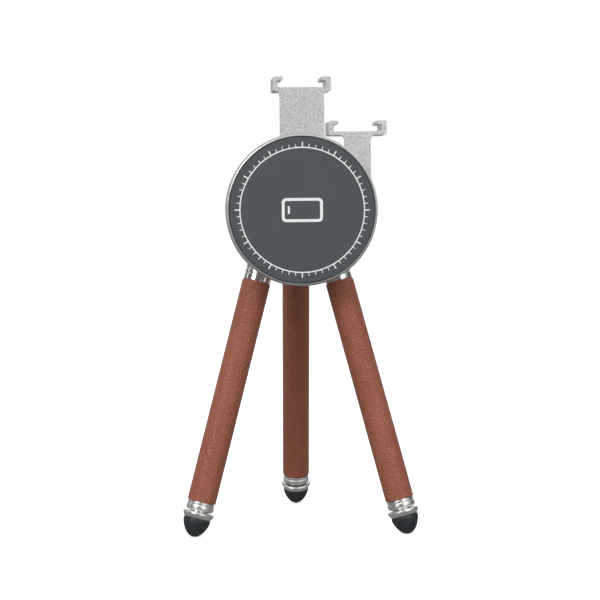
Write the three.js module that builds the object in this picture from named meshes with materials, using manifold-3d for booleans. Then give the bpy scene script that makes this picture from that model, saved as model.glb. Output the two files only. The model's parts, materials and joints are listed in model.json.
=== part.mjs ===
// Tabletop selfie tripod with a round magnetic phone mount and two accessory shoes.
// Millimetres, +Z up, the magnetic face looks along -Y. The origin is on the surface that the
// feet stand on, under the middle of the object's outline.

import * as THREE from 'three';
import { mergeVertices } from 'three/addons/utils/BufferGeometryUtils.js';
import Module from 'manifold-3d';

const wasm = await Module();
wasm.setup();

// ---- driving dimensions -------------------------------------------------------------------

// Legs, measured along the leg from its hinge. The head is panned a little way round from them.
const LEG_LEAN = THREE.MathUtils.degToRad(16.9);
const LEG_AZIMUTHS = { left: -62.4, right: 57.6, rear: 177.6 };
const HINGE_RADIUS = 14.9;
const UPPER_FERRULE_TOP = 7.3;
const LEATHER_TOP = 14.0;
const LEATHER_LENGTH = 89.1;
const LEATHER_BORE = 4.95;
const LEATHER_RADIUS = 5.62;
const TUBE_BORE = 4.1;
const TUBE_RADIUS = 4.8;
const FERRULE_LENGTH = 3.5;
const FERRULE_RADIUS = 5.4;
const GRIP_RING_LENGTH = 2.4;
const GRIP_RING_RADIUS = 6.13;
const FOOT_RADIUS = 5.42;
const FOOT_LENGTH = 7.3;
const FOOT_DOME = 6.1;
const INNER_TUBE_BORE = 2.6;
const INNER_TUBE_RADIUS = 3.4;
const LEG_EXTENSION = 55;
const BUSH_LENGTH = 8;
const SLIDE_GAP = 0.15;
const END_GAP = 0.4;
const JOINT_GAP = 0.3;

// Hub and its hinges.
const TONGUE_HALF_WIDTH = 3.2;
const TONGUE_HALF_THICKNESS = 2.5;
const TONGUE_WAIST = 2.5;
const EAR_RADIUS = 3.1;
const EAR_THICKNESS = 3.6;
const HUB_RADIUS = 12;
const HUB_ABOVE_HINGE = 6.2;
const HUB_BELOW_HINGE = 4.4;
const PIN_RADIUS = 1.3;
const PIN_HOLE = 1.55;

// Panning and tilting head.
const PAN_WASHER = 0.7;
const YOKE_BASE = 3.2;
const TILT_Y = -4;
const TILT_ABOVE_YOKE_BASE = 7.1;
const CHEEK_RADIUS = 5;
const CHEEK_THICKNESS = 3.4;
const NECK_HALF_THICKNESS = 3.5;
const NECK_RADIUS = 4.8;
const KNOB_RADIUS = 5.9;
const KNOB_LOBES = 8;
const KNOB_LENGTH = 7;
const TILT_BOLT_RADIUS = 2;

// Magnetic disc.
const DISC_HEIGHT = 127.2;
const DISC_FRONT = -31.5;
const DISC_RADIUS = 29.5;
const DISC_DEPTH = 5.5;
const FACE_RADIUS = 28.0;
const FACE_PROUD = 0.3;
const FACE_THICKNESS = 1.3;
const DISC_FLOOR = 0.9;
const MAGNET_INNER = 22.6;
const MAGNET_OUTER = 27.4;
const SPINDLE_RADIUS = 3.8;

// Housing behind the disc.
const HOUSING_FRONT = -25.2;
const HOUSING_WALL = 1.0;
const COVER_FRONT = -20.6;
const COVER_BACK = -19.2;
const HOUSING_RADIUS = 19.2;
const SOCKET_HALF_WIDTH = 10.6;
const SOCKET_TOP = 25;
const CHANNEL_BLOCK = { left: 14.9, right: 26.0, half: 12 };

// Accessory shoes, with the slot of a standard camera cold shoe.
const SHOE_WIDTH = 22.5;
const SHOE_SLOT = 18.8;
const SHOE_MOUTH = 14.9;
const SHOE_HEIGHT = 5.5;
const SHOE_FLOOR = 1.35;
const SHOE_LIP = 1.4;
const SHOE_DEPTH = 16;
const ARM_FRONT = -24.0;
const ARM_THICKNESS = 3.0;
const TOP_SHOE = { x: 0.8, bottom: 45.9, neck: 17.1, fillet: 2.0, foot: 9.0 };
const SIDE_SHOE = { x: 22.3, bottom: 28.8, neck: 10.1, fillet: 2.0, foot: 12.3 };
const STEM = { left: 17, right: 24, bottom: -11, thickness: 2.4 };
const SIDE_SHOE_TRAVEL = 10;

// Roundness of the turned pieces.
const FINE = 48;
const ROUND = 20;
const SMALL = 14;

// ---- materials ----------------------------------------------------------------------------

function finish(color, roughness, metalness) {
  return new THREE.MeshStandardMaterial({ color, roughness, metalness });
}

const sandblastedAluminium = finish(0xc3c5c8, 0.42, 1);
const nickel = finish(0xd9dadb, 0.16, 1);
const steel = finish(0x9a9ca0, 0.35, 1);
const leather = finish(0x71463a, 0.55, 0);
const rubber = finish(0x33373b, 0.7, 0);
const slateFace = finish(0x53585b, 0.5, 0);
const blackPlastic = finish(0x26282b, 0.5, 0);
const paleAcetal = finish(0xd8d6cf, 0.45, 0);
const magnetSteel = finish(0x77797c, 0.3, 1);

// ---- geometry helpers ---------------------------------------------------------------------

function pointsOf(pairs) {
  return pairs.map(([x, y]) => new THREE.Vector2(x, y));
}

// A closed profile of [radius, height] pairs turned about the Z axis, anticlockwise.
function turnedZ(pairs, segments = ROUND) {
  return turnedY(pairs, segments).rotateX(Math.PI / 2);
}

function turnedY(pairs, segments = ROUND) {
  return new THREE.LatheGeometry(pointsOf(pairs), segments);
}

function turnedX(pairs, segments = ROUND) {
  return turnedY(pairs, segments).rotateZ(-Math.PI / 2);
}

function rod(radius, low, high) {
  return [[0, low], [radius, low], [radius, high], [0, high]];
}

function sleeve(bore, radius, low, high) {
  return [[bore, low], [radius, low], [radius, high], [bore, high], [bore, low]];
}

// A rod with a wider head at its low end.
function headedRod(headRadius, radius, low, headTop, high) {
  return [[0, low], [headRadius, low], [headRadius, headTop], [radius, headTop], [radius, high], [0, high]];
}

function extruded(shape, depth, curveSegments) {
  return new THREE.ExtrudeGeometry(shape, { depth, bevelEnabled: false, curveSegments });
}

// An outline in X and Z, extruded from y = back to y = front.
function slab(shape, back, front, curveSegments = 8) {
  const axes = new THREE.Matrix4().makeBasis(
    new THREE.Vector3(1, 0, 0),
    new THREE.Vector3(0, 0, 1),
    new THREE.Vector3(0, -1, 0),
  );
  return extruded(shape, back - front, curveSegments).applyMatrix4(axes).translate(0, back, 0);
}

// An outline in Y and Z, extruded from x = left to x = right.
function plate(shape, left, right, curveSegments = 8) {
  const axes = new THREE.Matrix4().makeBasis(
    new THREE.Vector3(0, 1, 0),
    new THREE.Vector3(0, 0, 1),
    new THREE.Vector3(1, 0, 0),
  );
  return extruded(shape, right - left, curveSegments).applyMatrix4(axes).translate(left, 0, 0);
}

function block(x0, x1, y0, y1, z0, z1) {
  const box = new THREE.BoxGeometry(x1 - x0, y1 - y0, z1 - z0);
  return box.translate((x0 + x1) / 2, (y0 + y1) / 2, (z0 + z1) / 2);
}

function outline(pairs) {
  return new THREE.Shape(pointsOf(pairs));
}

function solid(geometry) {
  const bare = geometry.clone();
  bare.deleteAttribute('normal');
  bare.deleteAttribute('uv');
  const merged = mergeVertices(bare, 1e-5);
  const corners = merged.index.array;
  const faces = [];
  for (let i = 0; i < corners.length; i += 3) {
    const [a, b, c] = [corners[i], corners[i + 1], corners[i + 2]];
    if (a !== b && b !== c && c !== a) faces.push(a, b, c);
  }
  return new wasm.Manifold(new wasm.Mesh({
    numProp: 3,
    vertProperties: merged.attributes.position.array,
    triVerts: new Uint32Array(faces),
  }));
}

function meshGeometry(body) {
  const { vertProperties, triVerts } = body.getMesh();
  const geometry = new THREE.BufferGeometry();
  geometry.setAttribute('position', new THREE.BufferAttribute(vertProperties, 3));
  geometry.setIndex(new THREE.BufferAttribute(triVerts, 1));
  geometry.computeVertexNormals();
  return geometry;
}

function joined(...geometries) {
  return geometries.map(solid).reduce((whole, piece) => whole.add(piece));
}

function cut(body, ...geometries) {
  return geometries.map(solid).reduce((whole, piece) => whole.subtract(piece), body);
}

function piece(name, geometry, material) {
  const shape = geometry.isBufferGeometry ? geometry : meshGeometry(geometry);
  const mesh = new THREE.Mesh(shape, material);
  mesh.name = name;
  return mesh;
}

// ---- legs: each is made hanging straight down from its hinge at the origin ------------------

const leatherEnd = LEATHER_TOP + LEATHER_LENGTH;
const ferruleTop = leatherEnd + 0.2;
const ferruleEnd = ferruleTop + FERRULE_LENGTH;
const gripRingTop = ferruleEnd + END_GAP;
const gripRingEnd = gripRingTop + GRIP_RING_LENGTH;
const footTop = gripRingEnd + 0.1;
const footTip = footTop + FOOT_LENGTH;
const footShoulder = footTip - FOOT_DOME;
const lipTop = ferruleEnd - 0.6;
const bushTop = lipTop - LEG_EXTENSION - BUSH_LENGTH - JOINT_GAP;
const innerTubeEnd = footTop + 2.6;

// A tongue for the hub's fork, a round cap and a plug for the leg tube. The tongue's square inner
// corner meets the hub when the leg is fully open, and its outer side is waisted so that the
// housing passes it as the head pans.
function legKnuckle(side) {
  const tongue = new THREE.Shape();
  const bottom = 1.2 - UPPER_FERRULE_TOP;
  tongue.moveTo(-TONGUE_WAIST, bottom);
  tongue.lineTo(TONGUE_HALF_WIDTH, bottom);
  tongue.lineTo(TONGUE_HALF_WIDTH, TONGUE_HALF_WIDTH);
  tongue.lineTo(0, TONGUE_HALF_WIDTH);
  tongue.absarc(0, 0, TONGUE_HALF_WIDTH, Math.PI / 2, Math.PI, false);
  tongue.lineTo(-TONGUE_WAIST, -TONGUE_HALF_WIDTH);
  tongue.closePath();
  const capTop = 1.5 - UPPER_FERRULE_TOP;
  const capBottom = 0.2 - UPPER_FERRULE_TOP;
  const plugRadius = TUBE_BORE - SLIDE_GAP;
  const cap = [[0, -LEATHER_TOP], [plugRadius, -LEATHER_TOP], [plugRadius, capBottom],
    [FERRULE_RADIUS - 0.4, capBottom], [FERRULE_RADIUS - 0.4, capTop - 0.4],
    [FERRULE_RADIUS - 0.8, capTop], [0, capTop]];
  const body = joined(
    plate(tongue, -TONGUE_HALF_THICKNESS, TONGUE_HALF_THICKNESS),
    turnedZ(cap),
  );
  const pinHole = turnedX(rod(PIN_HOLE, -6, 6), SMALL);
  return piece(`leg_knuckle_${side}`, cut(body, pinHole), nickel);
}

// Two raised rings with a groove between them, on a plain sleeve.
function ringedSleeve(low, high) {
  const middle = (low + high) / 2;
  const groove = 0.3;
  return [[LEATHER_BORE, low], [FERRULE_RADIUS, low], [FERRULE_RADIUS, middle - groove],
    [FERRULE_RADIUS - groove, middle], [FERRULE_RADIUS, middle + groove], [FERRULE_RADIUS, high],
    [LEATHER_BORE, high], [LEATHER_BORE, low]];
}

function upperFerrule(side) {
  const profile = ringedSleeve(0.2 - LEATHER_TOP, -UPPER_FERRULE_TOP);
  return piece(`upper_ferrule_${side}`, turnedZ(profile), nickel);
}

function legTube(side) {
  const profile = sleeve(TUBE_BORE, TUBE_RADIUS, 0.2 - lipTop, -UPPER_FERRULE_TOP);
  return piece(`leg_tube_${side}`, turnedZ(profile), steel);
}

function leatherWrap(side) {
  const profile = sleeve(LEATHER_BORE, LEATHER_RADIUS, -leatherEnd, -LEATHER_TOP);
  return piece(`leather_wrap_${side}`, turnedZ(profile), leather);
}

// The ferrule's bottom lip is the stop that keeps the bush of the inner tube inside the leg.
function lowerFerrule(side) {
  const bore = INNER_TUBE_RADIUS + SLIDE_GAP;
  const [low, lip, high] = [-ferruleEnd, -lipTop, -ferruleTop];
  const middle = (low + high) / 2;
  const profile = [[bore, low], [FERRULE_RADIUS, low], [FERRULE_RADIUS, middle - 0.3],
    [FERRULE_RADIUS - 0.3, middle], [FERRULE_RADIUS, middle + 0.3], [FERRULE_RADIUS, high],
    [LEATHER_BORE, high], [LEATHER_BORE, lip], [bore, lip], [bore, low]];
  return piece(`lower_ferrule_${side}`, turnedZ(profile), nickel);
}

function innerTube(side) {
  const profile = sleeve(INNER_TUBE_BORE, INNER_TUBE_RADIUS, -innerTubeEnd, -bushTop);
  return piece(`inner_tube_${side}`, turnedZ(profile), steel);
}

function tubeBush(side) {
  const bore = INNER_TUBE_RADIUS + SLIDE_GAP;
  const profile = sleeve(bore, TUBE_BORE - SLIDE_GAP, -bushTop - BUSH_LENGTH, -bushTop);
  return piece(`tube_bush_${side}`, turnedZ(profile), paleAcetal);
}

function gripRing(side) {
  const bore = INNER_TUBE_RADIUS + SLIDE_GAP;
  const [low, high] = [-gripRingEnd, -gripRingTop];
  const profile = [[bore, low], [FOOT_RADIUS, low], [GRIP_RING_RADIUS, high - 0.9],
    [GRIP_RING_RADIUS, high - 0.3], [GRIP_RING_RADIUS - 0.4, high], [bore, high], [bore, low]];
  return piece(`grip_ring_${side}`, turnedZ(profile), nickel);
}

// A bullet-shaped foot with a blind socket for the inner tube.
function rubberFoot(side) {
  const socket = INNER_TUBE_RADIUS + SLIDE_GAP;
  const steps = 7;
  const profile = [[0, -footTip]];
  for (let i = 1; i <= steps; i += 1) {
    const angle = (i / steps) * (Math.PI / 2);
    profile.push([FOOT_RADIUS * Math.sin(angle), -footShoulder - FOOT_DOME * Math.cos(angle)]);
  }
  profile.push([FOOT_RADIUS, -footTop], [socket, -footTop], [socket, -innerTubeEnd - 0.2], [0, -innerTubeEnd - 0.2]);
  return piece(`rubber_foot_${side}`, turnedZ(profile), rubber);
}

const legPieces = [legKnuckle, upperFerrule, legTube, leatherWrap, lowerFerrule,
  innerTube, tubeBush, gripRing, rubberFoot];

// The hinge height that sets the domed foot of a fully open leg on the ground.
const domeReach = Math.hypot(FOOT_RADIUS * Math.sin(LEG_LEAN), FOOT_DOME * Math.cos(LEG_LEAN));
const HINGE_HEIGHT = footShoulder * Math.cos(LEG_LEAN) + domeReach;

function leg(side) {
  const swing = new THREE.Group();
  swing.position.set(0, -HINGE_RADIUS, HINGE_HEIGHT);
  swing.rotation.x = -LEG_LEAN;
  legPieces.forEach((make) => swing.add(make(side)));
  const turn = new THREE.Group();
  turn.rotation.z = THREE.MathUtils.degToRad(LEG_AZIMUTHS[side]);
  turn.add(swing, hingeScrew(side));
  return turn;
}

// ---- hub: a round core with a forked lug for each leg ---------------------------------------

const hubBottom = HINGE_HEIGHT - HUB_BELOW_HINGE;
const hubTop = HINGE_HEIGHT + HUB_ABOVE_HINGE;
const slotHalf = TONGUE_HALF_THICKNESS + JOINT_GAP;
const lugHalf = slotHalf + EAR_THICKNESS;
const screwHeadDepth = 1.3;

function hingeScrew(side) {
  const low = 0.2 - lugHalf;
  const profile = headedRod(2.4, PIN_RADIUS, low, low + screwHeadDepth, lugHalf - 0.6);
  const screw = piece(`hinge_screw_${side}`, turnedX(profile, SMALL), steel);
  screw.position.set(0, -HINGE_RADIUS, HINGE_HEIGHT);
  return screw;
}

function hubLug() {
  const lug = new THREE.Shape();
  lug.moveTo(0, -HUB_BELOW_HINGE);
  lug.lineTo(0, HUB_ABOVE_HINGE - 1);
  lug.lineTo(-HUB_RADIUS, HUB_ABOVE_HINGE - 1);
  lug.lineTo(-HINGE_RADIUS, EAR_RADIUS);
  lug.absarc(-HINGE_RADIUS, 0, EAR_RADIUS, Math.PI / 2, (3 * Math.PI) / 2, false);
  lug.lineTo(-HUB_RADIUS, -HUB_BELOW_HINGE);
  lug.closePath();
  return plate(lug, -lugHalf, lugHalf);
}

// The room for one leg: the fork's slot, the pin hole and the screw head's counterbore.
function hubRoom() {
  const wall = HINGE_RADIUS - 1.34 * TONGUE_HALF_WIDTH;
  const slot = block(-slotHalf, slotHalf, -40, -wall, -20, 20);
  const pinHole = turnedX(rod(PIN_HOLE, -20, 20), SMALL).translate(0, -HINGE_RADIUS, 0);
  const headRoom = rod(2.7, -20, 0.4 - lugHalf + screwHeadDepth);
  return [slot, pinHole, turnedX(headRoom, SMALL).translate(0, -HINGE_RADIUS, 0)];
}

function turnedToLeg(geometry, side) {
  const turn = THREE.MathUtils.degToRad(LEG_AZIMUTHS[side]);
  return geometry.rotateZ(turn).translate(0, 0, HINGE_HEIGHT);
}

function legHub() {
  const sides = Object.keys(LEG_AZIMUTHS);
  const core = turnedZ([[0, hubBottom], [HUB_RADIUS - 1, hubBottom], [HUB_RADIUS, hubBottom + 1],
    [HUB_RADIUS, hubTop - 1], [HUB_RADIUS - 1, hubTop], [0, hubTop]], 36);
  const whole = joined(core, ...sides.map((side) => turnedToLeg(hubLug(), side)));
  const rooms = sides.flatMap((side) => hubRoom().map((room) => turnedToLeg(room, side)));
  const bore = turnedZ(rod(2.9, hubBottom - 5, hubTop + 5), ROUND);
  return piece('leg_hub', cut(whole, ...rooms, bore), sandblastedAluminium);
}

// ---- panning yoke ---------------------------------------------------------------------------

const yokeBottom = hubTop + PAN_WASHER + JOINT_GAP;
const yokeTop = yokeBottom + YOKE_BASE;
const TILT_HEIGHT = yokeTop + TILT_ABOVE_YOKE_BASE;
const cheekInner = NECK_HALF_THICKNESS + JOINT_GAP;
const cheekOuter = cheekInner + CHEEK_THICKNESS;

function panWasher() {
  const profile = sleeve(3, HUB_RADIUS - 1, hubTop + 0.15, hubTop + 0.15 + PAN_WASHER);
  return piece('pan_washer', turnedZ(profile, 32), paleAcetal);
}

function panBolt() {
  const low = hubBottom - 3.3;
  const profile = headedRod(4.6, 2.6, low, low + 3, yokeTop - 0.4);
  return piece('pan_bolt', turnedZ(profile), steel);
}

function panYoke() {
  const base = turnedZ([[0, yokeBottom], [HUB_RADIUS, yokeBottom], [HUB_RADIUS, yokeTop - 0.8],
    [HUB_RADIUS - 0.8, yokeTop], [0, yokeTop]], 36);
  const cheek = new THREE.Shape();
  cheek.moveTo(TILT_Y - CHEEK_RADIUS, yokeTop - 0.5);
  cheek.lineTo(TILT_Y + CHEEK_RADIUS + 2, yokeTop - 0.5);
  cheek.lineTo(TILT_Y + CHEEK_RADIUS, TILT_HEIGHT);
  cheek.absarc(TILT_Y, TILT_HEIGHT, CHEEK_RADIUS, 0, Math.PI, false);
  cheek.closePath();
  const body = joined(base, plate(cheek, cheekInner, cheekOuter), plate(cheek, -cheekOuter, -cheekInner));
  const tiltHole = turnedX(rod(TILT_BOLT_RADIUS + JOINT_GAP, -20, 20), SMALL);
  const panHole = turnedZ(rod(2.9, yokeBottom - 5, yokeTop - 0.1));
  return piece('pan_yoke', cut(body, tiltHole.translate(0, TILT_Y, TILT_HEIGHT), panHole), sandblastedAluminium);
}

function tiltBolt() {
  const low = -cheekOuter - 2.9;
  const profile = headedRod(4, TILT_BOLT_RADIUS, low, low + 2.6, cheekOuter + KNOB_LENGTH - 0.5);
  const bolt = piece('tilt_bolt', turnedX(profile, SMALL), steel);
  bolt.position.set(0, TILT_Y, TILT_HEIGHT);
  return bolt;
}

function tiltKnob() {
  const steps = KNOB_LOBES * 6;
  const rim = [];
  for (let i = 0; i < steps; i += 1) {
    const angle = (i / steps) * 2 * Math.PI;
    const radius = KNOB_RADIUS + 0.4 * Math.cos(KNOB_LOBES * angle);
    rim.push([radius * Math.cos(angle), radius * Math.sin(angle)]);
  }
  const shape = outline(rim);
  const threadHole = new THREE.Path().absarc(0, 0, TILT_BOLT_RADIUS + JOINT_GAP, 0, 2 * Math.PI, true);
  shape.holes.push(threadHole);
  const start = cheekOuter + JOINT_GAP;
  const knob = piece('tilt_knob', plate(shape, start, start + KNOB_LENGTH, 6), blackPlastic);
  knob.position.set(0, TILT_Y, TILT_HEIGHT);
  return knob;
}

// ---- magnetic disc: turned about its own axis, then raised to its height --------------------

const discBack = DISC_FRONT + DISC_DEPTH;
const floorFront = discBack - DISC_FLOOR;
const rimFront = DISC_FRONT + FACE_PROUD;
const faceBack = DISC_FRONT + FACE_THICKNESS;

function onDiscAxis(name, geometry, material) {
  const mesh = piece(name, geometry, material);
  mesh.position.z = DISC_HEIGHT;
  return mesh;
}

function bezelCup() {
  const bore = SPINDLE_RADIUS + SLIDE_GAP;
  const soft = 0.7;
  const profile = [[bore, floorFront], [FACE_RADIUS + 0.05, floorFront], [FACE_RADIUS + 0.05, rimFront],
    [DISC_RADIUS - soft, rimFront], [DISC_RADIUS, rimFront + soft], [DISC_RADIUS, discBack - soft],
    [DISC_RADIUS - soft, discBack], [bore, discBack], [bore, floorFront]];
  return onDiscAxis('bezel_cup', turnedY(profile, FINE), sandblastedAluminium);
}

function facePlate() {
  const profile = rod(FACE_RADIUS - 0.1, DISC_FRONT, faceBack);
  return onDiscAxis('face_plate', turnedY(profile, FINE), slateFace);
}

function magnetRing() {
  const profile = sleeve(MAGNET_INNER, MAGNET_OUTER, faceBack + 0.2, floorFront - 1.2);
  return onDiscAxis('magnet_ring', turnedY(profile, 36), magnetSteel);
}

function magnetCarrier() {
  const profile = sleeve(8.6, MAGNET_INNER - 0.3, faceBack + 0.2, floorFront - 1.2);
  return onDiscAxis('magnet_carrier', turnedY(profile, 36), blackPlastic);
}

function steelBacking() {
  const profile = sleeve(8.6, MAGNET_OUTER, floorFront - 1.0, floorFront - 0.2);
  return onDiscAxis('steel_backing', turnedY(profile, 36), steel);
}

// The disc's flanged spindle, riveted to the cup and held behind the housing's wall by a nut.
function discSpindle() {
  const flangeFront = floorFront - 1.2;
  const profile = headedRod(7.6, SPINDLE_RADIUS, flangeFront, floorFront - 0.2, COVER_FRONT - 0.8);
  return onDiscAxis('disc_spindle', turnedY(profile), steel);
}

function spindleNut() {
  const front = HOUSING_FRONT + HOUSING_WALL + 0.3;
  const profile = sleeve(SPINDLE_RADIUS + SLIDE_GAP, 6.4, front, front + 1.8);
  return onDiscAxis('spindle_nut', turnedY(profile), steel);
}

function frictionRing() {
  const profile = sleeve(SPINDLE_RADIUS + 0.4, 14, discBack + 0.15, HOUSING_FRONT - 0.15);
  return onDiscAxis('friction_ring', turnedY(profile, 32), paleAcetal);
}

// ---- housing: its outlines are drawn about the disc's axis ----------------------------------

function housingBody(back, front) {
  const round = turnedY(rod(HOUSING_RADIUS, front, back), FINE);
  const [socketLeft, socketRight] = [TOP_SHOE.x - SOCKET_HALF_WIDTH, TOP_SHOE.x + SOCKET_HALF_WIDTH];
  const socket = block(socketLeft, socketRight, front, back, 0, SOCKET_TOP);
  const { left, right, half } = CHANNEL_BLOCK;
  const guide = block(left, right, front, back, -half, half);
  return joined(round, socket, guide);
}

const coverScrews = {
  upper_left: [-13, 10.5],
  upper_right: [13, 10.5],
  lower_left: [-11.5, -11.5],
  lower_right: [11.5, -11.5],
};
const bracketScrews = { left: [TOP_SHOE.x - 5, 18], right: [TOP_SHOE.x + 5, 18] };
const stopPinAt = [20.5, -9];

function alongY(profile, [x, z], segments = SMALL) {
  return turnedY(profile, segments).translate(x, 0, z);
}

function headHousing() {
  const wallBack = HOUSING_FRONT + HOUSING_WALL;
  const back = COVER_FRONT - 0.1;
  const gap = JOINT_GAP;
  const neckHalf = TOP_SHOE.neck / 2 + gap;
  const nutRoom = turnedY(rod(7.4, wallBack, back + 5), 24);
  const spindleHole = turnedY(rod(SPINDLE_RADIUS + SLIDE_GAP, HOUSING_FRONT - 5, back + 5));
  const [neckLeft, neckRight] = [TOP_SHOE.x - neckHalf, TOP_SHOE.x + neckHalf];
  const socket = block(neckLeft, neckRight, wallBack, back + 5, TOP_SHOE.foot - gap, 60);
  const channel = block(STEM.left - gap, STEM.right + gap, wallBack, back + 5, -40, 40);
  const screwHole = rod(1.25, wallBack, back + 5);
  const screwHoles = Object.values(coverScrews).map((at) => alongY(screwHole, at));
  const body = cut(housingBody(back, HOUSING_FRONT), nutRoom, spindleHole, socket, channel, ...screwHoles);
  return onDiscAxis('head_housing', body, sandblastedAluminium);
}

// The cover carries the thick neck that the tilt bolt passes through.
function rearCover() {
  const tiltZ = TILT_HEIGHT - DISC_HEIGHT;
  const neck = new THREE.Shape();
  neck.moveTo(COVER_BACK - 0.5, tiltZ - NECK_RADIUS);
  neck.lineTo(TILT_Y, tiltZ - NECK_RADIUS);
  neck.absarc(TILT_Y, tiltZ, NECK_RADIUS, -Math.PI / 2, Math.PI / 2, false);
  neck.lineTo(COVER_BACK - 0.5, tiltZ + NECK_RADIUS + 3);
  neck.closePath();
  const whole = housingBody(COVER_BACK, COVER_FRONT)
    .add(solid(plate(neck, -NECK_HALF_THICKNESS, NECK_HALF_THICKNESS)));
  const tiltHole = turnedX(rod(TILT_BOLT_RADIUS + JOINT_GAP, -20, 20), SMALL).translate(0, TILT_Y, tiltZ);
  const screwHole = rod(1.5, COVER_FRONT - 5, COVER_BACK + 5);
  const headRoom = rod(2.6, COVER_BACK - 1.0, COVER_BACK + 5);
  const places = [...Object.values(coverScrews), ...Object.values(bracketScrews)];
  const holes = places.flatMap((at) => [alongY(screwHole, at), alongY(headRoom, at)]);
  const [pinX, pinZ] = stopPinAt;
  const stopSlot = block(pinX - 1.2, pinX + 1.2, COVER_FRONT - 1, COVER_BACK + 1,
    pinZ - 1.2, pinZ + SIDE_SHOE_TRAVEL + 1.2);
  return onDiscAxis('rear_cover', cut(whole, tiltHole, ...holes, stopSlot), sandblastedAluminium);
}

// Screws enter from the back; their heads sit in the cover.
function screwFromBehind(name, [x, z], tip) {
  const headBack = COVER_BACK - 0.1;
  const profile = [[0, tip], [1.0, tip], [1.0, headBack - 0.8], [2.3, headBack - 0.8],
    [2.3, headBack], [0, headBack]];
  return onDiscAxis(name, alongY(profile, [x, z]), steel);
}

// ---- accessory shoes ------------------------------------------------------------------------

function shoeChannel({ x, bottom }) {
  const [half, slot, mouth] = [SHOE_WIDTH / 2, SHOE_SLOT / 2, SHOE_MOUTH / 2];
  const lipBottom = SHOE_HEIGHT - SHOE_LIP;
  const right = [[half, 0], [half, SHOE_HEIGHT], [mouth, SHOE_HEIGHT], [mouth, lipBottom],
    [slot, lipBottom], [slot, SHOE_FLOOR]];
  const left = right.map(([u, v]) => [-u, v]).reverse();
  return slab(outline([...right, ...left]), ARM_FRONT + SHOE_DEPTH, ARM_FRONT).translate(x, 0, bottom);
}

// The flat neck with a fillet on each side under the shoe.
function shoeNeck({ x, bottom, neck, fillet, foot }) {
  const half = neck / 2;
  const top = bottom + 0.4;
  const shape = new THREE.Shape();
  shape.moveTo(x - half, foot);
  shape.lineTo(x + half, foot);
  shape.lineTo(x + half, bottom - fillet);
  shape.absarc(x + half + fillet, bottom - fillet, fillet, Math.PI, Math.PI / 2, true);
  shape.lineTo(x + half + fillet, top);
  shape.lineTo(x - half - fillet, top);
  shape.lineTo(x - half - fillet, bottom);
  shape.absarc(x - half - fillet, bottom - fillet, fillet, Math.PI / 2, 0, true);
  shape.closePath();
  return slab(shape, ARM_FRONT + ARM_THICKNESS, ARM_FRONT, 4);
}

// The concave web that carries the shoe's overhang behind the neck.
function shoeGusset({ x, bottom, neck }) {
  const reach = 6;
  const back = ARM_FRONT + ARM_THICKNESS;
  const web = new THREE.Shape();
  web.moveTo(back - 0.5, bottom + 0.4);
  web.lineTo(back - 0.5, bottom - reach);
  web.lineTo(back, bottom - reach);
  web.absarc(back + reach, bottom - reach, reach, Math.PI, Math.PI / 2, true);
  web.lineTo(back + reach, bottom + 0.4);
  web.closePath();
  const half = neck / 2 - 1;
  return plate(web, x - half, x + half, 5);
}

function topShoeBracket() {
  const whole = joined(shoeChannel(TOP_SHOE), shoeNeck(TOP_SHOE), shoeGusset(TOP_SHOE));
  const threads = Object.values(bracketScrews).map((at) => alongY(rod(1.25, ARM_FRONT - 1, 0), at));
  return onDiscAxis('top_shoe_bracket', cut(whole, ...threads), sandblastedAluminium);
}

// The side arm's narrower stem slides in the housing; its shoulder rests on the housing.
function sideShoeArm() {
  const stemBack = ARM_FRONT + STEM.thickness;
  const stem = block(STEM.left, STEM.right, ARM_FRONT, stemBack, STEM.bottom, SIDE_SHOE.foot + 0.5);
  const whole = joined(shoeChannel(SIDE_SHOE), shoeNeck(SIDE_SHOE), shoeGusset(SIDE_SHOE), stem);
  const pinHole = alongY(rod(1.05, ARM_FRONT + 0.6, 0), stopPinAt);
  return onDiscAxis('side_shoe_arm', cut(whole, pinHole), sandblastedAluminium);
}

function armStopPin() {
  const profile = rod(0.85, ARM_FRONT + 0.8, COVER_BACK - 0.4);
  return onDiscAxis('arm_stop_pin', alongY(profile, stopPinAt), steel);
}

// A bowed leaf spring between the cover and the stem holds the side arm where it is put.
function armSpring() {
  const [contact, seat, thickness] = [-21.3, COVER_FRONT - 0.15, 0.25];
  const [low, high] = [3.2, 10.8];
  const middle = (low + high) / 2;
  const bow = new THREE.Shape();
  bow.moveTo(seat - thickness, low);
  bow.lineTo(seat, low);
  bow.quadraticCurveTo(2 * contact - seat + 2 * thickness, middle, seat, high);
  bow.lineTo(seat - thickness, high);
  bow.quadraticCurveTo(2 * contact - seat + thickness, middle, seat - thickness, low);
  return onDiscAxis('arm_spring', plate(bow, 18.5, 22.5, 8), steel);
}

// ---- assembly -------------------------------------------------------------------------------

function head() {
  const screws = Object.entries(coverScrews).map(([place, at]) => (
    screwFromBehind(`cover_screw_${place}`, at, HOUSING_FRONT + HOUSING_WALL + 0.4)
  ));
  const clamps = Object.entries(bracketScrews).map(([place, at]) => (
    screwFromBehind(`bracket_screw_${place}`, at, ARM_FRONT + 0.4)
  ));
  return [headHousing(), rearCover(), frictionRing(), topShoeBracket(), armSpring(), ...screws, ...clamps,
    sideShoeArm(), armStopPin()];
}

const disc = [bezelCup(), facePlate(), magnetRing(), magnetCarrier(), steelBacking(), discSpindle(), spindleNut()];
const swivel = [panWasher(), panBolt(), panYoke(), tiltBolt(), tiltKnob()];

const model = new THREE.Group();
model.add(legHub(), ...Object.keys(LEG_AZIMUTHS).map(leg), ...swivel, ...head(), ...disc);

const size = new THREE.Box3().setFromObject(model, true);
const centre = size.getCenter(new THREE.Vector3());
model.position.set(-centre.x, -centre.y, -size.min.z);

export default model;
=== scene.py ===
"""A tabletop phone tripod: a magnetic disc, two accessory shoes and three leather-wrapped legs.

Lengths are in millimetres until a mesh is placed. Each piece is made in the frame of what it
belongs to: the standing tripod, the disc, or a leg that hangs from its hinge.
"""

import json
import math

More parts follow.
